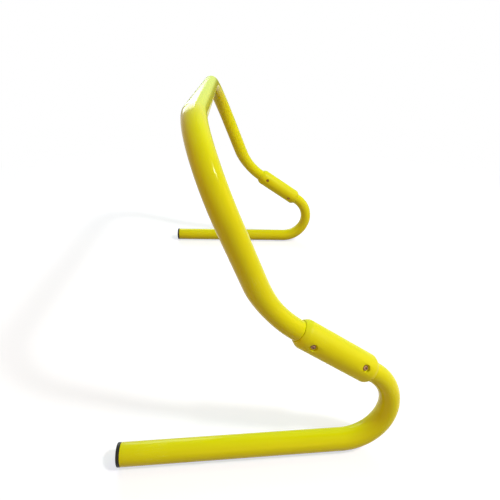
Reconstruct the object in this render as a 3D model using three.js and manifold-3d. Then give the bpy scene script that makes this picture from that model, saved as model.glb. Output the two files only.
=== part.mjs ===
import * as THREE from 'three';
import { mergeVertices } from 'three/addons/utils/BufferGeometryUtils.js';
import Module from 'manifold-3d';

const wasm = await Module();
wasm.setup();

// A low training hurdle: a crossbar and two legs bent from one tube, and two J-shaped feet.
// Lengths are in millimetres, angles in degrees. X runs from the free ends of the feet to the
// rear bends, Y along the crossbar and Z up. The feet stand on Z = 0.

// The tube
const tubeDiameter = 25;
const tubeWall = 2.5;
const neckReduction = 1.5;

// The top frame
const legSpacing = 550;
const cornerRadius = 85;
const legStraight = 62.5;
const legBendRadius = 122;
const legLean = 21.8;
const legBendTurn = 34.4;

// The feet
const neckStraight = 5.4;
const footBendRadius = 50;
const footStraight = 244;
const footToeOut = 2.7;

// Shares of a bend's length, and of the tube's width, over which the section changes
const neckingShare = 0.6;
const regrowingShare = 0.5;
const footBendOvalShare = 0.125;

// The sleeves
const sleeveWall = 4.2;
const sleeveLength = 95;
const sleeveTaperLength = 6.5;
const sleeveTaperPower = 1.5;
const sleeveEndWall = 1;
const sleeveStopWidth = 4;
const sleeveStopHeight = 2;
const mouthChamfer = 0.4;

// The screws and their nuts
const screwDiameter = 3;
const screwHeadDiameter = 5.7;
const screwHeadHeight = 1.65;
const screwHeadShoulderShares = [0.3, 0.8];
const screwHeadTopShares = [0.88, 0.62];
const screwTipChamfer = 0.5;
const screwSocketWidth = 2;
const screwSocketDepth = 1.05;
const legScrewInset = 15.5;
const footScrewInset = 16.7;
const screwEndStandOut = 0.2;
const recessClearance = 1.45;
const recessDepth = 3;
const nutWidth = 5.5;
const nutHeight = 2.4;
const nutPocketDepth = 3.1;
const legScrewTilt = -4;
const footScrewTilt = 26;

// The end plugs and counterweights
const plugRim = 3.2;
const plugDome = 0.6;
const plugStemLength = 16;
const plugStemWall = 2.25;
const plugRibWidth = 2;
const plugRibHeight = 1.45;
const plugRibs = 3;
const plugHollowDepth = 13;
const counterweightLength = 110;
const counterweightChamfer = 1.2;

// Clearances
const fitClearance = 0.3;
const cutOverrun = 1;
const mergeTolerance = 0.0001;

// Facets
const tubeSides = 24;
const smallSides = 16;
const cornerSteps = 9;
const legBendSteps = 6;
const footBendSteps = 20;
const taperSteps = 4;
const domeSteps = 3;

const tubeRadius = tubeDiameter / 2;
const neckRadius = tubeRadius - neckReduction;
const insideRadius = tubeRadius - tubeWall - fitClearance;
const sleeveBoreRadius = neckRadius + fitClearance;
const sleeveRadius = sleeveBoreRadius + sleeveWall;
const halfStop = sleeveStopWidth / 2;
const sleeveMiddle = sleeveLength / 2;
const neckStop = sleeveMiddle - halfStop - fitClearance;

const plastic = (color, roughness) => new THREE.MeshStandardMaterial({ color, roughness, metalness: 0 });
const metal = (color, roughness) => new THREE.MeshStandardMaterial({ color, roughness, metalness: 1 });
const yellowTube = plastic(0xe6dc12, 0.32);
const yellowMoulding = plastic(0xe8d91a, 0.42);
const blackPlug = plastic(0x17171a, 0.5);
const zincScrew = metal(0xa39389, 0.35);
const zincNut = metal(0x9a8f8a, 0.45);
const rolledSteel = metal(0x6f6c68, 0.6);

const radians = THREE.MathUtils.degToRad;
const vector = (x, y, z) => new THREE.Vector3(x, y, z);
const up = vector(0, 0, 1);

// A facet, not a corner, lies at the nominal radius.
const cornerOf = (radius, sides) => radius / Math.cos(Math.PI / sides);

// A path is walked forward from a point with a direction and a side vector square to it.
// Each station on it says which stretch it is in and what share of that stretch lies behind it.
const startPath = (point, direction, side) => ({ point, direction, side, stations: [] });

function addStation(path, stretch, share) {
  const { point, direction, side } = path;
  path.stations.push({ point, direction, side, stretch, share });
}

function walkStraight(path, stretch, distance) {
  path.point = path.point.clone().addScaledVector(path.direction, distance);
  addStation(path, stretch, 1);
}

function walkBend(path, stretch, radius, axis, turn, steps) {
  const centre = path.point.clone().addScaledVector(axis.clone().cross(path.direction), radius);
  const arm = path.point.clone().sub(centre);
  const { direction, side } = path;
  for (let i = 1; i <= steps; i++) {
    const angle = (turn * i) / steps;
    path.point = centre.clone().add(arm.clone().applyAxisAngle(axis, angle));
    path.direction = direction.clone().applyAxisAngle(axis, angle);
    path.side = side.clone().applyAxisAngle(axis, angle);
    addStation(path, stretch, i / steps);
  }
}

// One ring of a tube wall: along the path's side vector its half width is inPlane, across it outOfPlane.
function ringPoints(station, inPlane, outOfPlane, phase) {
  const across = station.direction.clone().cross(station.side);
  const points = [];
  for (let i = 0; i < tubeSides; i++) {
    const angle = phase + ((i + 0.5) * 2 * Math.PI) / tubeSides;
    points.push(
      station.point
        .clone()
        .addScaledVector(station.side, cornerOf(inPlane, tubeSides) * Math.cos(angle))
        .addScaledVector(across, cornerOf(outOfPlane, tubeSides) * Math.sin(angle)),
    );
  }
  return points;
}

// The tube wall between an outer and an inner skin, with flat rings at both ends.
function sweepTube(stations, widthsOf, phase = 0) {
  const outer = stations.map((s) => ringPoints(s, widthsOf(s).inPlane, widthsOf(s).outOfPlane, phase));
  const inner = stations.map((s) =>
    ringPoints(s, widthsOf(s).inPlane - tubeWall, widthsOf(s).outOfPlane - tubeWall, phase),
  );
  const position = [...outer, ...inner].flat().flatMap((p) => p.toArray());
  const index = [];
  const at = (skin, ring, i) => (skin * stations.length + ring) * tubeSides + (i % tubeSides);
  const quad = (a, b, c, d) => index.push(a, b, c, a, c, d);
  for (let i = 0; i < tubeSides; i++) {
    for (let ring = 0; ring + 1 < stations.length; ring++) {
      quad(at(0, ring, i), at(0, ring, i + 1), at(0, ring + 1, i + 1), at(0, ring + 1, i));
      quad(at(1, ring, i + 1), at(1, ring, i), at(1, ring + 1, i), at(1, ring + 1, i + 1));
    }
    const last = stations.length - 1;
    quad(at(0, 0, i + 1), at(0, 0, i), at(1, 0, i), at(1, 0, i + 1));
    quad(at(0, last, i), at(0, last, i + 1), at(1, last, i + 1), at(1, last, i));
  }
  const geometry = new THREE.BufferGeometry();
  geometry.setAttribute('position', new THREE.Float32BufferAttribute(position, 3));
  geometry.setIndex(index);
  return geometry;
}

function solidOf(geometry) {
  const bare = geometry.clone();
  bare.deleteAttribute('normal');
  bare.deleteAttribute('uv');
  const merged = mergeVertices(bare, mergeTolerance);
  return new wasm.Manifold(
    new wasm.Mesh({
      numProp: 3,
      vertProperties: new Float32Array(merged.attributes.position.array),
      triVerts: new Uint32Array(merged.index.array),
    }),
  );
}

function geometryOf(solid) {
  const mesh = solid.getMesh();
  const geometry = new THREE.BufferGeometry();
  geometry.setAttribute('position', new THREE.BufferAttribute(mesh.vertProperties, 3));
  geometry.setIndex(new THREE.BufferAttribute(mesh.triVerts, 1));
  return geometry;
}

const cutFrom = (geometry, cutters) =>
  geometryOf(cutters.reduce((solid, cutter) => solid.subtract(solidOf(cutter)), solidOf(geometry)));

// A turned piece: profile points are [distance along the axis, radius], and the axis becomes Z.
function turned(profile, sides) {
  const points = profile.map(([along, radius]) => new THREE.Vector2(cornerOf(radius, sides), along));
  return new THREE.LatheGeometry(points, sides, Math.PI / sides).rotateX(Math.PI / 2);
}

// Puts a shape made along Z at a point, with Z turned to a direction and X to a side vector.
function placeAlong(geometry, point, direction, side) {
  const across = direction.clone().cross(side);
  const turn = new THREE.Matrix4().makeBasis(side, across, direction);
  return geometry.applyMatrix4(turn.setPosition(point));
}

// Everything on one side of the hurdle is laid out by the sign of Y there.
function layOutSide(sign) {
  const outward = vector(0, sign, 0);
  const legDown = vector(Math.sin(radians(legLean)), 0, -Math.cos(radians(legLean)));
  const cornerAxis = outward.clone().cross(legDown);
  const legBendAxis = vector(0, -1, 0);
  const legPath = startPath(vector(0, 0, 0), outward, legDown.clone().negate());
  walkStraight(legPath, 'bar', legSpacing / 2 - cornerRadius);
  walkBend(legPath, 'corner', cornerRadius, cornerAxis, Math.PI / 2, cornerSteps);
  walkStraight(legPath, 'leg', legStraight);
  walkBend(legPath, 'legBend', legBendRadius, legBendAxis, radians(legBendTurn), legBendSteps);

  const sleeve = { point: legPath.point, direction: legPath.direction, outward };
  sleeve.top = sleeve.direction.clone().cross(outward).multiplyScalar(sign);
  walkStraight(legPath, 'neck', neckStop);

  const toe = radians(footToeOut);
  const footDirection = vector(-Math.cos(toe), sign * Math.sin(toe), 0);
  const footAxis = sleeve.direction.clone().cross(footDirection).normalize();
  const footTurn = sleeve.direction.angleTo(footDirection);
  const footStart = sleeveMiddle + halfStop + fitClearance;
  const footPoint = sleeve.point.clone().addScaledVector(sleeve.direction, footStart);
  const footPath = startPath(footPoint, sleeve.direction.clone(), footAxis.clone().cross(sleeve.direction));
  addStation(footPath, 'neck', 0);
  walkStraight(footPath, 'neck', sleeveLength + neckStraight - footStart);
  walkBend(footPath, 'footBend', footBendRadius, footAxis, footTurn, footBendSteps);
  walkStraight(footPath, 'foot', footStraight);
  const foot = { end: footPath.point, direction: footDirection, side: footPath.side };
  return { legPath, footPath, sleeve, foot };
}

const mixed = (from, to, share) => from + (to - from) * share;
const eased = (share) => THREE.MathUtils.smoothstep(share, 0, 1);

// The tube is drawn down to the neck over the first part of the leg's bend.
function legWidths({ stretch, share }) {
  const necked = { legBend: eased(share / neckingShare), neck: 1 }[stretch] ?? 0;
  const radius = mixed(tubeRadius, neckRadius, necked);
  return { inPlane: radius, outOfPlane: radius };
}

// The foot's tight bend grows from the neck to the full tube and is flattened in its own plane.
function footWidths({ stretch, share }) {
  const grown = { neck: 0, footBend: eased(share / regrowingShare) }[stretch] ?? 1;
  const radius = mixed(neckRadius, tubeRadius, grown);
  const oval = stretch === 'footBend' ? footBendOvalShare * Math.sin(Math.PI * share) ** 2 : 0;
  return { inPlane: radius * (1 - oval), outOfPlane: radius * (1 + oval / 2) };
}

// Places and directions of the two screws of one side: along the sleeve, and tilted up about it.
function screwPlaces({ sleeve }) {
  return [
    { name: 'leg', along: legScrewInset, tilt: legScrewTilt },
    { name: 'foot', along: sleeveLength - footScrewInset, tilt: footScrewTilt },
  ].map(({ name, along, tilt }) => ({
    name,
    centre: sleeve.point.clone().addScaledVector(sleeve.direction, along),
    direction: sleeve.outward
      .clone()
      .multiplyScalar(Math.cos(radians(tilt)))
      .addScaledVector(sleeve.top, Math.sin(radians(tilt))),
    side: sleeve.direction.clone(),
  }));
}

const screwHoleRadius = screwDiameter / 2 + fitClearance;
const headSeat = sleeveRadius - recessDepth;
const nutSeat = sleeveRadius - nutPocketDepth;
const screwHole = (place, radius) => {
  const length = 2 * (sleeveRadius + cutOverrun);
  const hole = new THREE.CylinderGeometry(radius, radius, length, smallSides).rotateX(Math.PI / 2);
  return placeAlong(hole, place.centre, place.direction, place.side);
};

function makeTopFrame(sides) {
  const [right, left] = sides.map((side) => side.legPath.stations);
  const mirroredBack = right
    .slice()
    .reverse()
    .map((s) => ({ ...s, direction: s.direction.clone().negate() }));
  const stations = [...mirroredBack, ...left];
  const holes = sides.map((side) => screwHole(screwPlaces(side)[0], screwHoleRadius));
  return cutFrom(sweepTube(stations, legWidths), holes);
}

// A facet of the straight foot faces the floor.
function makeFootTube(side) {
  const { foot, footPath } = side;
  const across = foot.direction.clone().cross(foot.side);
  const phase = Math.atan2(up.dot(across), up.dot(foot.side));
  const hole = screwHole(screwPlaces(side)[1], screwHoleRadius);
  return cutFrom(sweepTube(footPath.stations, footWidths, phase), [hole]);
}

// The sleeve's outside at one of its ends swells from the end face to the full width, ever more gently.
function taperPoints(end, inward) {
  const points = [];
  for (let i = 0; i <= taperSteps; i++) {
    const share = i / taperSteps;
    const swollen = 1 - (1 - share) ** sleeveTaperPower;
    const radius = mixed(sleeveBoreRadius + sleeveEndWall, sleeveRadius, swollen);
    points.push([end + inward * share * sleeveTaperLength, radius]);
  }
  return points;
}

function makeSleeve(side) {
  const { sleeve } = side;
  const stopRadius = sleeveBoreRadius - sleeveStopHeight;
  const profile = [
    [sleeveMiddle + halfStop, sleeveBoreRadius],
    [sleeveMiddle + halfStop, stopRadius],
    [sleeveMiddle - halfStop, stopRadius],
    [sleeveMiddle - halfStop, sleeveBoreRadius],
    [mouthChamfer, sleeveBoreRadius],
    [0, sleeveBoreRadius + mouthChamfer],
    ...taperPoints(0, 1),
    ...taperPoints(sleeveLength, -1).reverse(),
    [sleeveLength, sleeveBoreRadius + mouthChamfer],
    [sleeveLength - mouthChamfer, sleeveBoreRadius],
    [sleeveMiddle + halfStop, sleeveBoreRadius],
  ];
  const body = placeAlong(turned(profile, tubeSides), sleeve.point, sleeve.direction, sleeve.top);
  const cutters = screwPlaces(side).flatMap((place) => [
    screwHole(place, screwHoleRadius),
    makeRecessCutter(place),
    makeNutPocketCutter(place),
  ]);
  return cutFrom(body, cutters);
}

function makeRecessCutter(place) {
  const length = recessDepth + cutOverrun;
  const radius = screwHeadDiameter / 2 + recessClearance;
  const cutter = new THREE.CylinderGeometry(radius, radius, length, smallSides).rotateX(Math.PI / 2);
  cutter.translate(0, 0, headSeat + length / 2);
  return placeAlong(cutter, place.centre, place.direction, place.side);
}

function makeNutPocketCutter(place) {
  const length = nutPocketDepth + cutOverrun;
  const radius = cornerOf(nutWidth / 2 + fitClearance, 6);
  const cutter = new THREE.CylinderGeometry(radius, radius, length, 6).rotateX(Math.PI / 2);
  cutter.translate(0, 0, -nutSeat - length / 2);
  return placeAlong(cutter, place.centre, place.direction, place.side);
}

function makeScrew(place) {
  const shank = screwDiameter / 2;
  const headRadius = screwHeadDiameter / 2;
  const seat = headSeat + fitClearance;
  const top = seat + screwHeadHeight;
  const tip = -nutSeat - fitClearance - nutHeight - screwEndStandOut;
  const [lowShoulder, highShoulder] = screwHeadShoulderShares.map((share) => mixed(seat, top, share));
  const [shoulderRadius, topRadius] = screwHeadTopShares.map((share) => headRadius * share);
  const profile = [
    [tip, 0],
    [tip, shank - screwTipChamfer],
    [tip + screwTipChamfer, shank],
    [seat, shank],
    [seat, headRadius],
    [lowShoulder, headRadius],
    [highShoulder, shoulderRadius],
    [top, topRadius],
    [top, 0],
  ];
  const socketRadius = cornerOf(screwSocketWidth / 2, 6);
  const length = screwSocketDepth + cutOverrun;
  const socket = new THREE.CylinderGeometry(socketRadius, socketRadius, length, 6).rotateX(Math.PI / 2);
  socket.translate(0, 0, top - screwSocketDepth + length / 2);
  const screw = cutFrom(turned(profile, smallSides), [socket]);
  return placeAlong(screw, place.centre, place.direction, place.side);
}

function makeNut(place) {
  const radius = cornerOf(nutWidth / 2, 6);
  const nut = new THREE.CylinderGeometry(radius, radius, nutHeight, 6).rotateX(Math.PI / 2);
  nut.translate(0, 0, -nutSeat - fitClearance - nutHeight / 2);
  const placed = placeAlong(nut, place.centre, place.direction, place.side);
  return cutFrom(placed, [screwHole(place, screwHoleRadius)]);
}

// The plug's ribbed stem, closed by a rim and a low dome that stand outside the tube.
function makePlug({ foot }) {
  const face = fitClearance;
  const coreRadius = insideRadius - plugRibHeight;
  const hollowRadius = coreRadius - plugStemWall;
  const ribPitch = plugStemLength / plugRibs;
  const ribs = [];
  for (let i = plugRibs; i > 0; i--) {
    const inner = face - i * ribPitch;
    const outer = inner + plugRibWidth;
    ribs.push([inner, coreRadius], [outer, insideRadius], [outer, coreRadius]);
  }
  const rimEnd = face + plugRim;
  const dome = [];
  for (let i = 0; i <= domeSteps; i++) {
    const angle = ((Math.PI / 2) * i) / domeSteps;
    dome.push([rimEnd + plugDome * Math.sin(angle), i < domeSteps ? tubeRadius * Math.cos(angle) : 0]);
  }
  const stemEnd = face - plugStemLength;
  const profile = [
    [stemEnd + plugHollowDepth, 0],
    [stemEnd + plugHollowDepth, hollowRadius],
    [stemEnd, hollowRadius],
    ...ribs,
    [face, coreRadius],
    [face, tubeRadius],
    ...dome,
  ];
  return placeAlong(turned(profile, tubeSides), foot.end, foot.direction, up);
}

function makeCounterweight({ foot }) {
  const front = -plugStemLength;
  const back = front - counterweightLength;
  const profile = [
    [back, 0],
    [back, insideRadius - counterweightChamfer],
    [back + counterweightChamfer, insideRadius],
    [front - counterweightChamfer, insideRadius],
    [front, insideRadius - counterweightChamfer],
    [front, 0],
  ];
  return placeAlong(turned(profile, tubeSides), foot.end, foot.direction, up);
}

const hurdle = new THREE.Group();

function addPiece(name, geometry, material) {
  const mesh = new THREE.Mesh(geometry, material);
  mesh.name = name;
  hurdle.add(mesh);
}

const rightSide = layOutSide(-1);
const leftSide = layOutSide(1);
addPiece('top_frame_tube', makeTopFrame([rightSide, leftSide]), yellowTube);

for (const [hand, side] of [['right', rightSide], ['left', leftSide]]) {
  addPiece(`${hand}_sleeve`, makeSleeve(side), yellowMoulding);
  addPiece(`${hand}_foot_tube`, makeFootTube(side), yellowTube);
  addPiece(`${hand}_end_plug`, makePlug(side), blackPlug);
  addPiece(`${hand}_counterweight`, makeCounterweight(side), rolledSteel);
  for (const place of screwPlaces(side)) {
    addPiece(`${hand}_${place.name}_screw`, makeScrew(place), zincScrew);
    addPiece(`${hand}_${place.name}_nut`, makeNut(place), zincNut);
  }
}

// The origin is under the middle of the hurdle, on the floor.
const bounds = new THREE.Box3().setFromObject(hurdle);
const middle = bounds.getCenter(vector(0, 0, 0));
hurdle.position.set(-middle.x, -middle.y, -bounds.min.z);
hurdle.updateMatrixWorld(true);

export default hurdle;
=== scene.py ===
from math import cos, pi, radians, sin

import bpy
from mathutils import Matrix, Quaternion, Vector


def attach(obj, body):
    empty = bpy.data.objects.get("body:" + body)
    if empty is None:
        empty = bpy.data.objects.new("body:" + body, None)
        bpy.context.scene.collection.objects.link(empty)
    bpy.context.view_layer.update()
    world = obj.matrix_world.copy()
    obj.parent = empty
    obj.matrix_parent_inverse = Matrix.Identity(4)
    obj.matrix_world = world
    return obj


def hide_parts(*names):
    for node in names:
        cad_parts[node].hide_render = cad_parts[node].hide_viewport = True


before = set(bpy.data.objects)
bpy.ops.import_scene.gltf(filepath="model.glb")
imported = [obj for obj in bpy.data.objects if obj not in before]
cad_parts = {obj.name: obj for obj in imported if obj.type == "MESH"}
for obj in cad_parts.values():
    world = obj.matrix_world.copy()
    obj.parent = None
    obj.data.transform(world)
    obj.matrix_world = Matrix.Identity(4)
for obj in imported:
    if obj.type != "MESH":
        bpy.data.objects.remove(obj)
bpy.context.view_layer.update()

# Camera, at the photograph's viewing angle. Lengths are in metres, angles in degrees.
view = {
    "place": (-0.02861, -0.59883, 0.40999),
    "heading": -2.913,  # away from looking straight along the crossbar
    "down": 26.328,
    "roll": 0.785,
    "lens": 29.384,  # mm
}

bpy.ops.object.camera_add()
camera = bpy.context.object
camera.name = "viewingCamera"
camera.data.lens = view["lens"]
camera.matrix_world = (
    Matrix.Translation(view["place"])
    @ Matrix.Rotation(radians(view["heading"]), 4, "Z")
    @ Matrix.Rotation(radians(90 - view["down"]), 4, "X")
    @ Matrix.Rotation(radians(view["roll"]), 4, "Z")
)
bpy.context.scene.camera = camera
print("camera placed")


# Small helpers for working on one piece at a time
smoothAngle = 32  # faces that meet at less than this shade as one surface
overrun = 0.001  # how far a cutter reaches past what it cuts


def selectNone():
    bpy.ops.object.select_all(action="DESELECT")


def selectOnly(piece):
    selectNone()
    piece.select_set(True)
    bpy.context.view_layer.objects.active = piece


def startEdit():
    bpy.ops.object.mode_set(mode="EDIT")


def leaveEdit():
    bpy.ops.object.mode_set(mode="OBJECT")


def editAll(piece):
    selectOnly(piece)
    startEdit()
    bpy.ops.mesh.select_all(action="SELECT")


def editSome(piece, kind, isWanted):
    # kind is "edges" or "polygons", and edit mode opens with only the wanted ones selected
    editAll(piece)
    bpy.ops.mesh.select_all(action="DESELECT")
    leaveEdit()
    for part in getattr(piece.data, kind):
        part.select = isWanted(part)
    startEdit()


def facesOut(piece):
    editAll(piece)
    bpy.ops.mesh.normals_make_consistent(inside=False)
    leaveEdit()


def axesMatrix(at, ahead, side):
    # local Z looks ahead, local X to the side
    turn = Matrix((side, ahead.cross(side), ahead)).transposed().to_4x4()
    return Matrix.Translation(at) @ turn


def applyPlace(piece, matrix):
    selectOnly(piece)
    piece.matrix_world = matrix
    bpy.ops.object.transform_apply(location=True, rotation=True, scale=True)


def copyPiece(piece, name, matrix):
    selectOnly(piece)
    bpy.ops.object.duplicate(linked=False)
    twin = bpy.context.object
    twin.name = name
    applyPlace(twin, matrix)
    if matrix.determinant() < 0:
        facesOut(twin)
    return twin


def applyModifier(piece, kind, **settings):
    selectOnly(piece)
    modifier = piece.modifiers.new(kind.lower(), kind)
    for name, value in settings.items():
        setattr(modifier, name, value)
    bpy.ops.object.modifier_apply(modifier=modifier.name)


def bevelSharp(piece, width, sharpAngle):
    limit = radians(sharpAngle)
    applyModifier(piece, "BEVEL", width=width, segments=2, limit_method="ANGLE", angle_limit=limit)


def makeCutter(sides, radius, low, high, matrix):
    selectNone()
    bpy.ops.mesh.primitive_cylinder_add(
        vertices=sides, radius=radius, depth=high - low, location=(0, 0, (low + high) / 2)
    )
    cutter = bpy.context.object
    bpy.ops.object.transform_apply(location=True, rotation=True, scale=True)
    applyPlace(cutter, matrix)
    return cutter


def cutAway(piece, cutter, operation="DIFFERENCE"):
    applyModifier(piece, "BOOLEAN", object=cutter, operation=operation, solver="EXACT")
    bpy.data.objects.remove(cutter)


def smooth(piece, angle=smoothAngle):
    selectOnly(piece)
    bpy.ops.object.shade_smooth_by_angle(angle=radians(angle))


def hexagonRadius(width):
    # from the width across flats to the radius at the corners
    return width / 2 / cos(pi / 6)


# How the hurdle stands. The left side is laid out, and the right side mirrors it.
layout = {
    "barX": -0.062438,
    "barZ": 0.352655,
    "legSpacing": 0.550,
    "legLean": 21.8,
    "legBendTurn": 34.4,
    "toeOut": 2.7,
}
across = Vector((0, 1, 0))
legDown = Vector((sin(radians(layout["legLean"])), 0, -cos(radians(layout["legLean"]))))
footAhead = Vector((-cos(radians(layout["toeOut"])), sin(radians(layout["toeOut"])), 0))
mirrorAcross = Matrix.Scale(-1, 4, across)

tube = {
    "radius": 0.0125,
    "wall": 0.0025,
    "neckRadius": 0.0110,
    "sides": 64,
    "sawnEdge": 0.0003,
    "sawnAngle": 60,
}


# Tubes are drawn as by hand: a ring is extruded along straights and spun round bends

def noteRing(route):
    side = route["side"]
    route["rings"].append((route["at"].copy(), side.copy(), route["ahead"].cross(side), route["done"]))


def startTube(name, at, ahead, side, radius):
    selectNone()
    bpy.ops.mesh.primitive_circle_add(vertices=tube["sides"], radius=radius, fill_type="NOTHING")
    piece = bpy.context.object
    piece.name = name
    applyPlace(piece, axesMatrix(at, ahead, side))
    editAll(piece)
    route = {"at": at, "ahead": ahead, "side": side, "done": 0, "size": (radius, radius), "rings": []}
    noteRing(route)
    return piece, route


def runStraight(route, length, rings):
    for _ in range(rings):
        step = route["ahead"] * length / rings
        bpy.ops.mesh.extrude_region_move(TRANSFORM_OT_translate={"value": step})
        route["at"] = route["at"] + step
        route["done"] += length / rings
        noteRing(route)


def runBend(route, radius, axis, turn, rings, sizeAt=None):
    # sizeAt gives the section's half width in the bend's plane and across it, by the share of the bend
    centre = route["at"] + axis.cross(route["ahead"]) * radius
    step = turn / rings
    spinStep = Matrix.Rotation(step, 3, axis)
    for count in range(rings):
        bpy.ops.mesh.spin(steps=1, angle=-step, center=centre, axis=axis)
        route["at"] = centre + spinStep @ (route["at"] - centre)
        route["ahead"] = spinStep @ route["ahead"]
        route["side"] = spinStep @ route["side"]
        route["done"] += radius * step
        if sizeAt:
            size = sizeAt((count + 1) / rings)
            bpy.ops.transform.resize(
                value=(size[0] / route["size"][0], size[1] / route["size"][1], 1),
                orient_type="GLOBAL",
                orient_matrix=axesMatrix(Vector(), route["ahead"], route["side"]).to_3x3(),
                orient_matrix_type="GLOBAL",
                center_override=route["at"],
            )
            route["size"] = size
        noteRing(route)


def keepTubePlace(piece, route):
    # each point keeps its place on the tube laid out straight, for marks that run along the tube
    leaveEdit()
    place = piece.data.attributes.new("tubePlace", "FLOAT_VECTOR", "POINT")
    for index, point in enumerate(piece.data.vertices):
        at, side, beside, done = route["rings"][index // tube["sides"]]
        offset = point.co - at
        place.data[index].vector = (done, offset.dot(side), offset.dot(beside))


def finishWall(piece):
    facesOut(piece)
    applyModifier(piece, "SOLIDIFY", thickness=tube["wall"], offset=-1, use_even_offset=True)
    bevelSharp(piece, tube["sawnEdge"], tube["sawnAngle"])


def eased(share):
    share = min(max(share, 0), 1)
    return share * share * (3 - 2 * share)


topFrame = {
    "cornerRadius": 0.085,
    "cornerRings": 32,
    "legStraight": 0.0625,
    "legRings": 2,
    "legBendRadius": 0.122,
    "legBendRings": 16,
    "neckingShare": 0.6,  # of the leg's bend, where the tube narrows
    "neckRings": 3,
    "barRings": 6,
    "mirrorMerge": 0.00001,
}
# The tubes' ends follow from the sleeve, so its sizes stand here, ahead of its own code
sleeve = {
    "length": 0.095,
    "radius": 0.0155,
    "ringShare": 0.3,  # of the length, from each end to a ring on the plain outside
    "boreRadius": 0.01106,
    "stopWidth": 0.004,
    "stopRadius": 0.0093,
    "stopSlope": 0.0003,
    "taperLength": 0.0065,
    "taperPower": 1.5,
    "taperRings": 12,
    "endRadius": 0.0123,
    "endRound": 0.0003,
    "mouthChamfer": 0.0001,
    "clearance": 0.0003,
    "sides": 96,
    "recessRadius": 0.0043,
    "recessDepth": 0.0030,
    "recessFillet": 0.0005,
    "recessSides": 48,
    "pocketWidth": 0.0061,
    "pocketDepth": 0.0031,
    "cutWeld": 0.00015,
    "cutEdge": 0.0002,
    "cutAngle": 38,
}


def makeTopFrame():
    start = Vector((layout["barX"], 0, layout["barZ"]))
    piece, route = startTube("crossbarAndLegs", start, across, -legDown, tube["radius"])
    runStraight(route, layout["legSpacing"] / 2 - topFrame["cornerRadius"], topFrame["barRings"])
    runBend(route, topFrame["cornerRadius"], across.cross(legDown), pi / 2, topFrame["cornerRings"])
    runStraight(route, topFrame["legStraight"], topFrame["legRings"])

    def neckedSize(share):
        drawn = eased(share / topFrame["neckingShare"])
        radius = tube["radius"] + (tube["neckRadius"] - tube["radius"]) * drawn
        return radius, radius

    turn = radians(layout["legBendTurn"])
    runBend(route, topFrame["legBendRadius"], -across, turn, topFrame["legBendRings"], neckedSize)
    sleeveStart = {"at": route["at"].copy(), "ahead": route["ahead"].copy()}
    neckLength = sleeve["length"] / 2 - sleeve["stopWidth"] / 2 - sleeve["clearance"]
    runStraight(route, neckLength, topFrame["neckRings"])
    keepTubePlace(piece, route)
    applyModifier(
        piece,
        "MIRROR",
        use_axis=(False, True, False),
        use_mirror_merge=True,
        merge_threshold=topFrame["mirrorMerge"],
    )
    finishWall(piece)
    return piece, sleeveStart


crossbar, sleeveStart = makeTopFrame()
sleeveUp = sleeveStart["ahead"].cross(across)
print("top frame bent:", len(crossbar.data.vertices), "points")

foot = {
    "neckStraight": 0.0054,
    "neckRings": 4,
    "bendRadius": 0.050,
    "bendRings": 44,
    "regrowingShare": 0.5,  # of the bend, where the neck widens to the full tube
    "flattening": 0.125,  # share of the width that the tight bend loses in its own plane
    "straight": 0.244,
    "straightRings": 8,
}


def makeFoot():
    down = sleeveStart["ahead"]
    axis = down.cross(footAhead).normalized()
    begin = sleeve["length"] / 2 + sleeve["stopWidth"] / 2 + sleeve["clearance"]
    at = sleeveStart["at"] + down * begin
    piece, route = startTube("leftFoot", at, down.copy(), axis.cross(down), tube["neckRadius"])
    runStraight(route, sleeve["length"] + foot["neckStraight"] - begin, foot["neckRings"])

    def bendSize(share):
        grown = eased(share / foot["regrowingShare"])
        radius = tube["neckRadius"] + (tube["radius"] - tube["neckRadius"]) * grown
        flat = foot["flattening"] * sin(pi * share) ** 2
        return radius * (1 - flat), radius * (1 + flat / 2)

    runBend(route, foot["bendRadius"], axis, down.angle(footAhead), foot["bendRings"], bendSize)
    runStraight(route, foot["straight"], foot["straightRings"])
    keepTubePlace(piece, route)
    finishWall(piece)
    return piece, route["at"].copy()


leftFoot, footEnd = makeFoot()
footPlace = axesMatrix(footEnd, footAhead, Vector((0, 0, 1)))
endText = [round(value, 4) for value in footEnd]
print("foot bent:", len(leftFoot.data.vertices), "points, free end at", endText)

screwHole = {
    "insets": {"leg": 0.0155, "foot": 0.0167},  # from the nearer end of the sleeve
    "tilts": {"leg": -4, "foot": 26},  # above the sleeve's side
    "radius": 0.0018,
    "sides": 32,
    "reach": sleeve["radius"] + 2 * overrun,
}


# Screws stand square to the sleeve's axis: local Z points out of the sleeve's outer side

def screwMatrix(name):
    inset = screwHole["insets"][name]
    along = inset if name == "leg" else sleeve["length"] - inset
    tilt = radians(screwHole["tilts"][name])
    out = across * cos(tilt) + sleeveUp * sin(tilt)
    return axesMatrix(sleeveStart["at"] + sleeveStart["ahead"] * along, out, sleeveStart["ahead"])


def drill(piece, place):
    reach = screwHole["reach"]
    cutAway(piece, makeCutter(screwHole["sides"], screwHole["radius"], -reach, reach, place))


drill(crossbar, screwMatrix("leg"))
drill(crossbar, mirrorAcross @ screwMatrix("leg"))
drill(leftFoot, screwMatrix("foot"))
smooth(crossbar)
smooth(leftFoot)
rightFoot = copyPiece(leftFoot, "rightFoot", mirrorAcross)
print("screw holes drilled in the tubes")


# Turned and moulded round pieces: an outline of (height, radius) is drawn point by point and spun
turning = {
    "firstSize": 0.001,  # of the plane that is merged into the outline's first point
    "weld": 0.000001,
}


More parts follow.
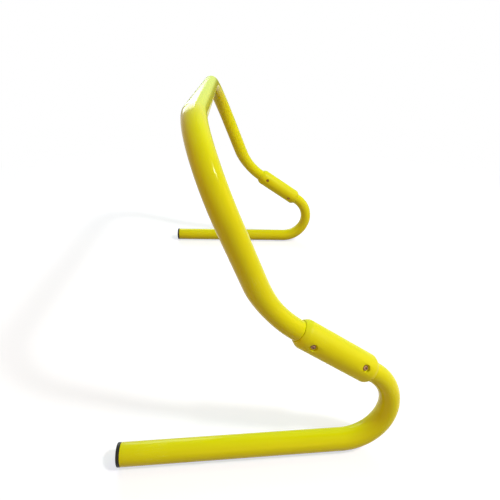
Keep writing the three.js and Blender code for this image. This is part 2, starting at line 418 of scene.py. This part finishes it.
def turnOutline(name, outline, sides, closed=False):
    selectNone()
    bpy.ops.mesh.primitive_plane_add(size=turning["firstSize"])
    piece = bpy.context.object
    piece.name = name
    editAll(piece)
    bpy.ops.mesh.merge(type="CENTER")
    at = Vector((outline[0][1], 0, outline[0][0]))
    bpy.ops.transform.translate(value=at)
    for height, radius in outline[1:]:
        point = Vector((radius, 0, height))
        bpy.ops.mesh.extrude_region_move(TRANSFORM_OT_translate={"value": point - at})
        at = point
    if closed:
        bpy.ops.mesh.select_all(action="SELECT")
        bpy.ops.mesh.remove_doubles(threshold=turning["weld"])
    bpy.ops.mesh.select_all(action="SELECT")
    bpy.ops.mesh.spin(steps=sides, angle=2 * pi, center=(0, 0, 0), axis=(0, 0, 1))
    bpy.ops.mesh.select_all(action="SELECT")
    bpy.ops.mesh.remove_doubles(threshold=turning["weld"])
    bpy.ops.mesh.normals_make_consistent(inside=False)
    leaveEdit()
    return piece


def roundCorner(height, radius, size, fromAngle, toAngle, steps):
    points = []
    for count in range(steps + 1):
        angle = radians(fromAngle + (toAngle - fromAngle) * count / steps)
        points.append((height + size * cos(angle), radius + size * sin(angle)))
    return points


def taperedEnd():
    # from the rounded lip at the end face the outside swells to the full width, ever more gently
    low, lip = sleeve["endRadius"], sleeve["endRound"]
    points = roundCorner(lip, low, lip, fromAngle=180, toAngle=120, steps=3)
    for count in range(1, sleeve["taperRings"] + 1):
        share = count / sleeve["taperRings"]
        swollen = 1 - (1 - share) ** sleeve["taperPower"]
        points.append((share * sleeve["taperLength"], low + (sleeve["radius"] - low) * swollen))
    return points


def makeRecessCutter():
    # the counterbore's foot is a fillet, bevelled on the cutter's lower edge
    floor = sleeve["radius"] - sleeve["recessDepth"]
    sides, radius = sleeve["recessSides"], sleeve["recessRadius"]
    cutter = makeCutter(sides, radius, floor, screwHole["reach"], Matrix())

    def onFloor(edge):
        heights = [cutter.data.vertices[index].co.z for index in edge.vertices]
        return max(heights) < floor + sleeve["recessFillet"]

    editSome(cutter, "edges", onFloor)
    bpy.ops.mesh.select_mode(type="EDGE")
    bpy.ops.mesh.bevel(offset=sleeve["recessFillet"], segments=3, affect="EDGES")
    bpy.ops.mesh.select_mode(type="VERT")
    leaveEdit()
    return cutter


def makeSleeve():
    length, bore, mouth = sleeve["length"], sleeve["boreRadius"], sleeve["mouthChamfer"]
    stopLow, stopHigh = length / 2 - sleeve["stopWidth"] / 2, length / 2 + sleeve["stopWidth"] / 2
    taper = taperedEnd()
    outline = [
        (stopHigh, sleeve["stopRadius"]),
        (stopLow, sleeve["stopRadius"]),
        (stopLow - sleeve["stopSlope"], bore),
        (mouth, bore),
        (0, bore + mouth),
        *taper,
        (length * sleeve["ringShare"], sleeve["radius"]),
        (length * (1 - sleeve["ringShare"]), sleeve["radius"]),
        *((length - height, radius) for height, radius in reversed(taper)),
        (length, bore + mouth),
        (length - mouth, bore),
        (stopHigh + sleeve["stopSlope"], bore),
        (stopHigh, sleeve["stopRadius"]),
    ]
    piece = turnOutline("leftSleeve", outline, sleeve["sides"], closed=True)
    applyPlace(piece, axesMatrix(sleeveStart["at"], sleeveStart["ahead"], across))
    pocketRadius = hexagonRadius(sleeve["pocketWidth"])
    pocketFloor = sleeve["pocketDepth"] - sleeve["radius"]
    for name in ("leg", "foot"):
        place = screwMatrix(name)
        drill(piece, place)
        recess = makeRecessCutter()
        applyPlace(recess, place)
        cutAway(piece, recess)
        cutAway(piece, makeCutter(6, pocketRadius, -screwHole["reach"], pocketFloor, place))
    applyModifier(piece, "WELD", merge_threshold=sleeve["cutWeld"])
    bevelSharp(piece, sleeve["cutEdge"], sleeve["cutAngle"])
    smooth(piece)
    return piece


leftSleeve = makeSleeve()
rightSleeve = copyPiece(leftSleeve, "rightSleeve", mirrorAcross)
print("sleeves moulded:", len(leftSleeve.data.vertices), "points each")

plug = {
    "gap": 0.0003,
    "rim": 0.00315,
    "rimEdge": 0.0004,
    "dome": 0.0006,
    "domeRings": 9,
    "faceEdge": 0.0005,
    "faceEdgeSet": 0.4,  # how far the round of the face's edge is set back, as a share of its size
    "stem": 0.0160,
    "stemRadius": 0.00825,
    "chamfer": 0.0003,  # on the stem's end and on the ribs
    "hollowRadius": 0.0060,
    "hollowDepth": 0.0130,
    "hollowEdge": 0.0005,
    "ribs": 3,
    "ribWidth": 0.0020,
    "ribRadius": 0.0097,
    "gateRadius": 0.0009,
    "gateDepth": 0.0003,
    "gateLip": 0.00004,
    "gateTaper": 0.8,
    "sides": 64,
    "smoothAngle": 40,
}


def makePlug():
    face, core, chamfer = plug["gap"], plug["stemRadius"], plug["chamfer"]
    end = face - plug["stem"]
    hollow, hollowEdge, hollowEnd = plug["hollowRadius"], plug["hollowEdge"], end + plug["hollowDepth"]
    outline = [
        (hollowEnd, 0),
        (hollowEnd, hollow - hollowEdge),
        (hollowEnd - hollowEdge, hollow),
        (end + chamfer, hollow),
        (end, hollow + chamfer),
        (end, core - chamfer),
        (end + chamfer, core),
    ]
    for count in range(plug["ribs"], 0, -1):
        low = face - count * plug["stem"] / plug["ribs"] + chamfer
        high = low + plug["ribWidth"] - chamfer
        rib = plug["ribRadius"]
        outline += [(low, core), (high - chamfer, rib), (high, rib), (high, core)]
    rim, rimEdge = tube["radius"], plug["rimEdge"]
    outline.append((face, core))
    outline += roundCorner(face + rimEdge, rim - rimEdge, rimEdge, fromAngle=180, toAngle=90, steps=3)
    # the face is nearly flat, with a rounded edge
    top, edge = face + plug["rim"], plug["faceEdge"]
    edgeHeight = top - edge * plug["faceEdgeSet"]
    outline += roundCorner(edgeHeight, rim - edge, edge, fromAngle=90, toAngle=20, steps=5)
    pole = top + plug["dome"]
    rise, low = outline[-1]
    for count in range(1, plug["domeRings"]):
        share = count / plug["domeRings"]
        outline.append((rise + (pole - rise) * (1 - (1 - share) ** 2), low * (1 - share)))
    outline += [
        (pole - plug["gateLip"], plug["gateRadius"]),
        (pole - plug["gateDepth"], plug["gateRadius"] * plug["gateTaper"]),
        (pole - plug["gateDepth"], 0),
    ]
    piece = turnOutline("leftPlug", outline, plug["sides"])
    smooth(piece, plug["smoothAngle"])
    applyPlace(piece, footPlace)
    return piece


leftPlug = makePlug()
rightPlug = copyPiece(leftPlug, "rightPlug", mirrorAcross)

counterweight = {
    "radius": 0.0097,
    "length": 0.110,
    "chamfer": 0.0012,
    "edge": 0.0002,
    "edgeAngle": 30,
    "sides": 64,
}


def makeCounterweight():
    radius, chamfer = counterweight["radius"], counterweight["chamfer"]
    front = -plug["stem"]
    back = front - counterweight["length"]
    outline = [
        (back, 0),
        (back, radius - chamfer),
        (back + chamfer, radius),
        (front - chamfer, radius),
        (front, radius - chamfer),
        (front, 0),
    ]
    piece = turnOutline("leftCounterweight", outline, counterweight["sides"])
    bevelSharp(piece, counterweight["edge"], counterweight["edgeAngle"])
    smooth(piece)
    applyPlace(piece, footPlace)
    return piece


leftCounterweight = makeCounterweight()
rightCounterweight = copyPiece(leftCounterweight, "rightCounterweight", mirrorAcross)
print("plugs and counterweights turned")

# A button head screw with a hexagon socket and a cut thread, made once along local Z
screw = {
    "radius": 0.0015,
    "rootRadius": 0.00122,
    "shankRadius": 0.00145,
    "pitch": 0.0005,
    "threads": 26,
    "crest": (0.4, 0.6),  # shares of the pitch between which the thread is full
    "runOut": 0.0003,
    "tip": -0.0153,
    "tipChamfer": 0.0005,
    "seat": 0.0128,
    "seatFillet": 0.0002,
    "headRadius": 0.00285,
    "headHeight": 0.00165,
    "headEdge": 0.0001,
    "headSide": 0.0003,
    "headFlat": 0.00135,
    "crownRings": 8,
    "socketWidth": 0.0020,
    "socketDepth": 0.00105,
    "socketInset": 0.04,  # share of the width that stays flat round the drill's point
    "socketPoint": 0.0003,
    "socketTurns": {"leftLeg": 8, "leftFoot": 37, "rightLeg": 21, "rightFoot": 52},
    "sides": 48,
}


def makeSocketCutter(top):
    radius = hexagonRadius(screw["socketWidth"])
    cutter = makeCutter(6, radius, top - screw["socketDepth"], top + overrun, Matrix())
    # the face that looks down is the socket's floor, which is drawn to the drill's point
    editSome(cutter, "polygons", lambda face: round(face.normal.z) < 0)
    bpy.ops.mesh.inset(thickness=screw["socketWidth"] * screw["socketInset"])
    bpy.ops.mesh.extrude_region_move(TRANSFORM_OT_translate={"value": (0, 0, -screw["socketPoint"])})
    bpy.ops.mesh.merge(type="CENTER")
    leaveEdit()
    return cutter


def makeScrew():
    tip, seat, pitch = screw["tip"], screw["seat"], screw["pitch"]
    outline = [(tip, 0), (tip, screw["radius"] - screw["tipChamfer"])]
    low = tip + screw["tipChamfer"]
    for count in range(screw["threads"]):
        root = low + count * pitch
        outline.append((root, screw["rootRadius"]))
        outline += [(root + share * pitch, screw["radius"]) for share in screw["crest"]]
    threadEnd = low + screw["threads"] * pitch
    outline += [
        (threadEnd, screw["rootRadius"]),
        (threadEnd + screw["runOut"], screw["shankRadius"]),
        (seat - screw["seatFillet"], screw["shankRadius"]),
        (seat, screw["shankRadius"] + screw["seatFillet"]),
        (seat, screw["headRadius"] - screw["headEdge"]),
        (seat + screw["headEdge"], screw["headRadius"]),
    ]
    top, crownFoot, flat = seat + screw["headHeight"], seat + screw["headSide"], screw["headFlat"]
    for count in range(screw["crownRings"] + 1):
        angle = pi / 2 * count / screw["crownRings"]
        radius = flat + (screw["headRadius"] - flat) * cos(angle)
        outline.append((crownFoot + (top - crownFoot) * sin(angle), radius))
    outline.append((top, 0))
    piece = turnOutline("screw", outline, screw["sides"])
    cutAway(piece, makeSocketCutter(top))
    smooth(piece)
    return piece


nut = {
    "width": 0.0055,
    "height": 0.0024,
    "outerFace": -0.0151,
    "chamferRadius": 0.0026,
    "chamferSlope": 0.577,  # height against reach
    "chamferSides": 96,
    "holeRadius": 0.00156,
    "holeCountersink": 0.0003,
    "holeSides": 48,
    "smoothAngle": 25,
}


def makeNut():
    low, high = nut["outerFace"], nut["outerFace"] + nut["height"]
    corner = hexagonRadius(nut["width"])
    slope = (corner - nut["chamferRadius"]) * nut["chamferSlope"]
    piece = makeCutter(6, corner, low, high, Matrix())
    piece.name = "nut"
    chamfers = [
        (low, 0),
        (low, nut["chamferRadius"]),
        (low + slope, corner),
        (high - slope, corner),
        (high, nut["chamferRadius"]),
        (high, 0),
    ]
    cutAway(piece, turnOutline("nutChamfers", chamfers, nut["chamferSides"]), "INTERSECT")
    radius, sink = nut["holeRadius"], nut["holeCountersink"]
    hole = [
        (low - overrun, 0),
        (low - overrun, radius + sink + overrun),
        (low + sink, radius),
        (high - sink, radius),
        (high + overrun, radius + sink + overrun),
        (high + overrun, 0),
    ]
    cutAway(piece, turnOutline("nutHole", hole, nut["holeSides"]))
    smooth(piece, nut["smoothAngle"])
    return piece


def placeFasteners(pattern, kind):
    made = {}
    for hand, mirror in (("left", Matrix()), ("right", mirrorAcross)):
        for name in ("leg", "foot"):
            label = hand + name.title()
            turn = screw["socketTurns"][label] if kind == "Screw" else 0
            place = mirror @ screwMatrix(name) @ Matrix.Rotation(radians(turn), 4, "Z")
            made[hand, name] = copyPiece(pattern, label + kind, place)
    bpy.data.objects.remove(pattern)
    return made


screws = placeFasteners(makeScrew(), "Screw")
nuts = placeFasteners(makeNut(), "Nut")
print("screws and nuts placed:", len(screws) + len(nuts))


# Effects that several finishes share are node groups
white = (1, 1, 1, 1)
middle = 0.5  # of a noise's range, and the hue value that changes nothing


def newGroup(name, inputs, outputs):
    group = bpy.data.node_groups.new(name, "ShaderNodeTree")
    for label, kind, value in inputs:
        socket = group.interface.new_socket(label, in_out="INPUT", socket_type="NodeSocket" + kind)
        if value is not None:
            socket.default_value = value
    for label, kind in outputs:
        group.interface.new_socket(label, in_out="OUTPUT", socket_type="NodeSocket" + kind)
    return group, group.nodes.new("NodeGroupInput").outputs, group.nodes.new("NodeGroupOutput").inputs


def feed(tree, socket, value):
    # value is another node's socket or a plain value
    if isinstance(value, bpy.types.NodeSocket):
        tree.links.new(value, socket)
    elif value is not None:
        socket.default_value = value


def feedAll(tree, node, values):
    for label, value in values.items():
        feed(tree, node.inputs[label], value)


def addNode(tree, kind, values=None, **settings):
    node = tree.nodes.new("ShaderNode" + kind)
    for name, value in settings.items():
        setattr(node, name, value)
    feedAll(tree, node, values or {})
    return node


def addMath(tree, operation, first, second=None):
    node = addNode(tree, "Math", operation=operation)
    feed(tree, node.inputs[0], first)
    feed(tree, node.inputs[1], second)
    return node.outputs[0]


def addNoise(tree, place, scale, detail=2, roughness=0.5):
    values = {"Scale": scale, "Detail": detail, "Roughness": roughness, "Vector": place}
    return addNode(tree, "TexNoise", values).outputs["Fac"]


def addRange(tree, value, low, high, toLow=0, toHigh=1):
    values = {"From Min": low, "From Max": high, "To Min": toLow, "To Max": toHigh, "Value": value}
    node = addNode(tree, "MapRange", values, clamp=True, interpolation_type="SMOOTHSTEP")
    return node.outputs["Result"]


def addColorMix(tree, share, first, second):
    node = addNode(tree, "Mix", data_type="RGBA")
    feedAll(tree, node, {"Factor": share, "A": first, "B": second})
    return node.outputs["Result"]


def makeOrangePeel():
    # the soft unevenness of moulded or extruded plastic, with a fine grain over it
    inputs = [
        ("Place", "Vector", None),
        ("Waves", "Float", 260),
        ("Grain", "Float", 2600),
        ("GrainShare", "Float", 0.25),
    ]
    group, given, result = newGroup("orangePeel", inputs, [("Height", "Float")])
    waves = addNoise(group, given["Place"], given["Waves"], detail=1)
    grain = addNoise(group, given["Place"], given["Grain"], roughness=0.6)
    share = addMath(group, "MULTIPLY", grain, given["GrainShare"])
    feed(group, result["Height"], addMath(group, "ADD", waves, share))
    return group


scuffLines = {
    "sets": ((0.5, 9), (-0.9, 13)),  # each set's turn, in radians, and how thin it is drawn out
    "skew": 0.6,
    "width": 0.012,
    "patchSize": 22,
    "patchRange": (0.52, 0.68),  # of the noise, between which a patch sets in
}


def makeHairScuffs():
    # thin rubbed lines in patches
    inputs = [("Place", "Vector", None), ("Size", "Float", 40), ("Amount", "Float", 0.5)]
    group, given, result = newGroup("hairScuffs", inputs, [("Mask", "Float")])
    masks = []
    for turn, stretch in scuffLines["sets"]:
        turns = (turn, turn * scuffLines["skew"], turn)
        values = {"Vector": given["Place"], "Rotation": turns, "Scale": (1, stretch, stretch)}
        mapping = addNode(group, "Mapping", values)
        lines = addNoise(group, mapping.outputs["Vector"], given["Size"], detail=3, roughness=0.45)
        away = addMath(group, "ABSOLUTE", addMath(group, "SUBTRACT", lines, middle))
        masks.append(addRange(group, away, 0, scuffLines["width"], toLow=1, toHigh=0))
    both = addMath(group, "MAXIMUM", *masks)
    patches = addNoise(group, given["Place"], scuffLines["patchSize"])
    mask = addMath(group, "MULTIPLY", both, addRange(group, patches, *scuffLines["patchRange"]))
    feed(group, result["Mask"], addMath(group, "MULTIPLY", mask, given["Amount"]))
    return group


def makeToneDrift():
    # slow changes of tone, as in any batch of coloured plastic or plated steel
    hueShare = 0.12
    inputs = [
        ("Color", "Color", white),
        ("Place", "Vector", None),
        ("Size", "Float", 9),
        ("Amount", "Float", 0.04),
    ]
    group, given, result = newGroup("toneDrift", inputs, [("Color", "Color")])
    noise = addNoise(group, given["Place"], given["Size"], detail=3)
    amount = addMath(group, "MULTIPLY", addMath(group, "SUBTRACT", noise, middle), given["Amount"])
    hue = addMath(group, "ADD", addMath(group, "MULTIPLY", amount, hueShare), middle)
    values = {"Hue": hue, "Value": addMath(group, "ADD", amount, 1), "Color": given["Color"]}
    feed(group, result["Color"], addNode(group, "HueSaturation", values).outputs["Color"])
    return group


orangePeel = makeOrangePeel()
hairScuffs = makeHairScuffs()
toneDrift = makeToneDrift()


def addGroup(tree, group, place, **values):
    node = addNode(tree, "Group", node_tree=group)
    feedAll(tree, node, {"Place": place, **values})
    return node.outputs[0]


def newFinish(name, roughness, metallic=0, ior=1.5, shine=0.25):
    finish = bpy.data.materials.new(name)
    finish.use_nodes = True
    tree = finish.node_tree
    shader = tree.nodes["Principled BSDF"]
    values = {"Roughness": roughness, "Metallic": metallic, "IOR": ior, "Specular IOR Level": shine}
    feedAll(tree, shader, values)
    place = addNode(tree, "TexCoord").outputs["Object"]
    return finish, tree, shader, place


def addBump(tree, shader, height, distance):
    bump = addNode(tree, "Bump", {"Strength": 1.0, "Distance": distance, "Height": height})
    feed(tree, shader.inputs["Normal"], bump.outputs["Normal"])


# The sizes in drift, scuffs and peel are waves to the metre
tubePvc = {
    "color": (0.79, 0.735, 0.003, 1),
    "scuffColor": (0.86, 0.80, 0.16, 1),
    "shine": 0.12,
    "roughness": 0.15,
    "scuffRoughness": 0.5,
    "drift": {"Size": 7.0, "Amount": 0.05},
    "scuffs": {"Size": 36.0, "Amount": 0.35},
    "peel": {"Waves": 150.0, "Grain": 2400.0, "GrainShare": 0.12},
    "dieLines": (4, 700, 700),  # along the tube and across it
    "dieLineShare": 0.5,
    "relief": 0.00006,
}
mouldedPvc = {
    "color": tubePvc["color"],
    "scuffColor": tubePvc["scuffColor"],
    "roughness": 0.44,
    "scuffRoughness": 0.55,
    "drift": {"Size": 24.0, "Amount": 0.05},
    "scuffs": {"Size": 60.0, "Amount": 0.4},
    "peel": {"Waves": 330.0, "Grain": 3600.0, "GrainShare": 0.3},
    "relief": 0.00005,
}
blackPlastic = {
    "color": (0.010, 0.010, 0.011, 1),
    "scuffColor": (0.06, 0.06, 0.058, 1),
    "roughness": 0.42,
    "scuffRoughness": 0.62,
    "drift": {"Size": 60.0, "Amount": 0.25},
    "scuffs": {"Size": 90.0, "Amount": 0.6},
    "peel": {"Waves": 700.0, "Grain": 5200.0, "GrainShare": 0.6},
    "relief": 0.00006,
}


def addPlasticLook(tree, shader, place, marksPlace, look):
    # colour and roughness, rubbed paler and duller in places; what comes back is the surface's height
    color = addGroup(tree, toneDrift, place, Color=look["color"], **look["drift"])
    scuffs = addGroup(tree, hairScuffs, marksPlace, **look["scuffs"])
    feed(tree, shader.inputs["Base Color"], addColorMix(tree, scuffs, color, look["scuffColor"]))
    dull = addMath(tree, "MULTIPLY", scuffs, look["scuffRoughness"] - look["roughness"])
    feed(tree, shader.inputs["Roughness"], addMath(tree, "ADD", dull, look["roughness"]))
    return addGroup(tree, orangePeel, marksPlace, **look["peel"])


def makeTubeFinish():
    finish, tree, shader, place = newFinish("yellowTube", tubePvc["roughness"], shine=tubePvc["shine"])
    tubePlace = addNode(tree, "Attribute", attribute_name="tubePlace").outputs["Vector"]
    peel = addPlasticLook(tree, shader, place, tubePlace, tubePvc)
    # faint lines that the extruder's die leaves along the tube
    mapping = addNode(tree, "Mapping", {"Vector": tubePlace, "Scale": tubePvc["dieLines"]})
    lines = addNoise(tree, mapping.outputs["Vector"], 1)
    faintLines = addMath(tree, "MULTIPLY", lines, tubePvc["dieLineShare"])
    addBump(tree, shader, addMath(tree, "ADD", faintLines, peel), tubePvc["relief"])
    return finish


def makeMouldedFinish(name, look):
    finish, tree, shader, place = newFinish(name, look["roughness"])
    peel = addPlasticLook(tree, shader, place, place, look)
    addBump(tree, shader, peel, look["relief"])
    return finish


# the screws' colour is partly their own plated tone and partly painted shade: darkened and browned for
# the recesses they sit in
zincScrewWithPaintedShade = {
    "color": (0.46, 0.27, 0.17, 1),
    "cloudColor": (0.14, 0.075, 0.04, 1),
    "cloudSize": 700.0,
    "roughness": 0.28,
}
# the nuts' colour is painted shade: darkened and browned for the shaded pockets they sit in, over the
# zinc's own tone
zincNutWithPaintedShade = {
    "color": (0.34, 0.17, 0.02, 1),
    "cloudColor": (0.14, 0.065, 0.01, 1),
    "cloudSize": 700.0,
    "roughness": 0.34,
}
rolledSteel = {
    "color": (0.24, 0.22, 0.20, 1),
    "cloudColor": (0.12, 0.10, 0.09, 1),
    "cloudSize": 160.0,
    "roughness": 0.48,
}
metalMarks = {
    "ior": 2.5,
    "cloudRange": (0.35, 0.7),  # of the noise, between which a cloud sets in
    "cloudDulling": 0.12,
    "scuffDulling": 0.1,
    "driftShare": 0.3,  # this and the next two are times the clouds' size
    "scuffShare": 0.6,
    "grainShare": 6,
    "relief": 0.00002,
}


def makeMetalFinish(name, look):
    # plated or rolled steel: cloudy tone, fine tool marks and a few rubbed lines
    marks, size = metalMarks, look["cloudSize"]
    finish, tree, shader, place = newFinish(name, look["roughness"], metallic=1, ior=marks["ior"])
    clouds = addRange(tree, addNoise(tree, place, size, detail=4, roughness=0.6), *marks["cloudRange"])
    cloudy = addColorMix(tree, clouds, look["color"], look["cloudColor"])
    driftSize = size * marks["driftShare"]
    drifted = addGroup(tree, toneDrift, place, Color=cloudy, Size=driftSize, Amount=0.08)
    feed(tree, shader.inputs["Base Color"], drifted)
    scuffs = addGroup(tree, hairScuffs, place, Size=size * marks["scuffShare"], Amount=0.5)
    clouded = addMath(tree, "MULTIPLY", clouds, marks["cloudDulling"])
    scuffed = addMath(tree, "MULTIPLY", scuffs, marks["scuffDulling"])
    dull = addMath(tree, "ADD", clouded, look["roughness"])
    feed(tree, shader.inputs["Roughness"], addMath(tree, "ADD", dull, scuffed))
    grain = size * marks["grainShare"]
    peel = addGroup(tree, orangePeel, place, Waves=size, Grain=grain, GrainShare=0.5)
    addBump(tree, shader, peel, marks["relief"])
    return finish


finishes = {
    "yellow_tube": makeTubeFinish(),
    "yellow_moulding": makeMouldedFinish("yellowMoulding", mouldedPvc),
    "black_plug": makeMouldedFinish("blackPlug", blackPlastic),
    "zinc_screw": makeMetalFinish("zincScrewWithPaintedShade", zincScrewWithPaintedShade),
    "zinc_nut": makeMetalFinish("zincNutWithPaintedShade", zincNutWithPaintedShade),
    "steel_bar": makeMetalFinish("rolledSteel", rolledSteel),
}
print("finishes made:", len(finishes))


def handOver(piece, node, slotName):
    piece.data.materials.clear()
    piece.data.materials.append(finishes[slotName])
    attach(piece, "root")
    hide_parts(node)


handOver(crossbar, "top_frame_tube", "yellow_tube")
for hand, handSleeve, handFoot, handPlug, handWeight in (
    ("left", leftSleeve, leftFoot, leftPlug, leftCounterweight),
    ("right", rightSleeve, rightFoot, rightPlug, rightCounterweight),
):
    handOver(handSleeve, hand + "_sleeve", "yellow_moulding")
    handOver(handFoot, hand + "_foot_tube", "yellow_tube")
    handOver(handPlug, hand + "_end_plug", "black_plug")
    handOver(handWeight, hand + "_counterweight", "steel_bar")
    for name in ("leg", "foot"):
        handOver(screws[hand, name], hand + "_" + name + "_screw", "zinc_screw")
        handOver(nuts[hand, name], hand + "_" + name + "_nut", "zinc_nut")
print("pieces ride on the frame")


# Floor, lamps and a white surround
studio = {
    "floorSize": 40.0,
    "floorDrop": 0.0001,  # below the feet
    "floorColor": (0.625, 0.513, 0.641, 1),
    "floorGlow": (0.531, 0.602, 0.645, 1),  # lifts the lit floor past white, so only deeper shade shows
    "floorFade": (0.7, 1.3),  # from the middle, between which the floor turns plain white
    "bounceColor": (0.28, 0.23, 0.19, 1),  # of the light that the floor throws back up
    "worldLight": (0.25, 0.24, 0.20, 1),
    # a card that glows though it is no lamp, dark below and lime above, seen only in the tubes' gloss
    "cardPlace": (0.2, 3.1, 0.60),
    "cardSize": (3.0, 1.2),
    "cardLow": (0.10, 0.12, 0.08, 1),
    "cardHigh": (0.78, 1.00, 0.48, 1),
    "cardRise": (0.30, 0.52),  # the heights between which the card's tone changes
    "aim": (0.0, 0.0, 0.12),  # where the lamps point
}
lamps = {
    "key": {"place": (1.55, -0.90, 2.20), "size": (0.30, 0.30), "power": 38, "color": (0.82, 1, 0.80)},
    "overhead": {"place": (0.5, 0.3, 1.2), "size": (0.9, 0.9), "power": 3, "color": (0.40, 1, 0.20)},
    "rightFill": {"place": (1.4, -0.2, 0.7), "size": (0.8, 0.8), "power": 6.4, "color": (1, 0.50, 0.10)},
    "frontFill": {"place": (0.4, -2.8, 0.9), "size": (1.2, 1.2), "power": 12.5, "color": (1, 0.54, 0.05)},
    "leftFill": {"place": (-1.8, -0.5, 0.6), "size": (0.9, 0.9), "power": 6, "color": (1, 0.48, 0.05)},
    "lowWindow": {"place": (-0.54, 3.0, 0.79), "size": (1.0, 0.56), "power": 4.6, "color": (0.90, 1, 1)},
    "highWindow": {"place": (-0.95, 3.0, 1.55), "size": (2.2, 1.6), "power": 36, "color": (0.90, 1, 1)},
}
lampTurns = {"lowWindow": -45, "highWindow": -60}  # about the lamp's own beam


def newBareMaterial(name):
    material = bpy.data.materials.new(name)
    material.use_nodes = True
    tree = material.node_tree
    tree.nodes.remove(tree.nodes["Principled BSDF"])
    return material, tree, tree.nodes["Material Output"].inputs["Surface"]


def addShader(tree, kind, color):
    return addNode(tree, kind, {"Color": color}).outputs[0]


def addShaderMix(tree, share, first, second):
    mix = addNode(tree, "MixShader")
    for socket, source in zip(mix.inputs, (share, first, second)):
        feed(tree, socket, source)
    return mix.outputs["Shader"]


def seenPlainly(tree):
    # what the camera sees, directly, in gloss or through something clear
    paths = addNode(tree, "LightPath").outputs
    seen = addMath(tree, "MAXIMUM", paths["Is Camera Ray"], paths["Is Glossy Ray"])
    return addMath(tree, "MAXIMUM", seen, paths["Is Transmission Ray"])


def makeFloor():
    selectNone()
    bpy.ops.mesh.primitive_plane_add(size=studio["floorSize"], location=(0, 0, -studio["floorDrop"]))
    floor = bpy.context.object
    floor.name = "floor"
    paper, tree, surface = newBareMaterial("floorPaper")
    lit = addNode(tree, "AddShader")
    feed(tree, lit.inputs[0], addShader(tree, "BsdfDiffuse", studio["floorColor"]))
    feed(tree, lit.inputs[1], addShader(tree, "Emission", studio["floorGlow"]))
    # away from the hurdle nothing falls on the floor, and it fades to plain white
    reach = addNode(tree, "VectorMath", operation="LENGTH")
    feed(tree, reach.inputs[0], addNode(tree, "TexCoord").outputs["Object"])
    far = addRange(tree, reach.outputs["Value"], *studio["floorFade"])
    shown = addShaderMix(tree, far, lit.outputs["Shader"], addShader(tree, "Emission", white))
    bounce = addShader(tree, "BsdfDiffuse", studio["bounceColor"])
    feed(tree, surface, addShaderMix(tree, seenPlainly(tree), bounce, shown))
    floor.data.materials.append(paper)


def makeCard():
    # far behind the hurdle, seen only in the tubes' gloss, a card that glows though it is no lamp, dark
    # below and lime above, keeps their shine from going all white: its dark part gives dark edges, its
    # glowing part a lime reflection
    selectNone()
    bpy.ops.mesh.primitive_plane_add(size=1)
    card = bpy.context.object
    card.name = "glossCard"
    size = Matrix.Diagonal((*studio["cardSize"], 1, 1))
    applyPlace(card, Matrix.Translation(studio["cardPlace"]) @ Matrix.Rotation(pi / 2, 4, "X") @ size)
    card.visible_camera = False
    card.visible_shadow = False
    board, tree, surface = newBareMaterial("glossBoard")
    height = addNode(tree, "SeparateXYZ", {"Vector": addNode(tree, "TexCoord").outputs["Object"]})
    rise = addRange(tree, height.outputs["Z"], *studio["cardRise"])
    tone = addColorMix(tree, rise, studio["cardLow"], studio["cardHigh"])
    feed(tree, surface, addShader(tree, "Emission", tone))
    card.data.materials.append(board)


def addLamp(name, lampSet):
    bpy.ops.object.light_add(type="AREA", location=lampSet["place"])
    lamp = bpy.context.object
    lamp.name = name
    lamp.visible_camera = False
    lamp.data.shape = "ELLIPSE"
    lamp.data.size, lamp.data.size_y = lampSet["size"]
    lamp.data.energy = lampSet["power"]
    lamp.data.color = lampSet["color"]
    beam = (Vector(studio["aim"]) - Vector(lampSet["place"])).to_track_quat("-Z", "Y")
    lamp.rotation_euler = (beam @ Quaternion((0, 0, 1), radians(lampTurns.get(name, 0)))).to_euler()


def makeSurround():
    world = bpy.data.worlds.new("surround")
    bpy.context.scene.world = world
    world.use_nodes = True
    tree = world.node_tree
    light = tree.nodes["Background"]
    light.inputs["Color"].default_value = studio["worldLight"]
    plain = addShader(tree, "Background", white)
    look = addShaderMix(tree, seenPlainly(tree), light.outputs["Background"], plain)
    feed(tree, tree.nodes["World Output"].inputs["Surface"], look)


makeFloor()
makeCard()
for name, lampSet in lamps.items():
    addLamp(name, lampSet)
makeSurround()
bpy.context.scene.view_settings.view_transform = "Standard"
print("floor, lamps and surround set")
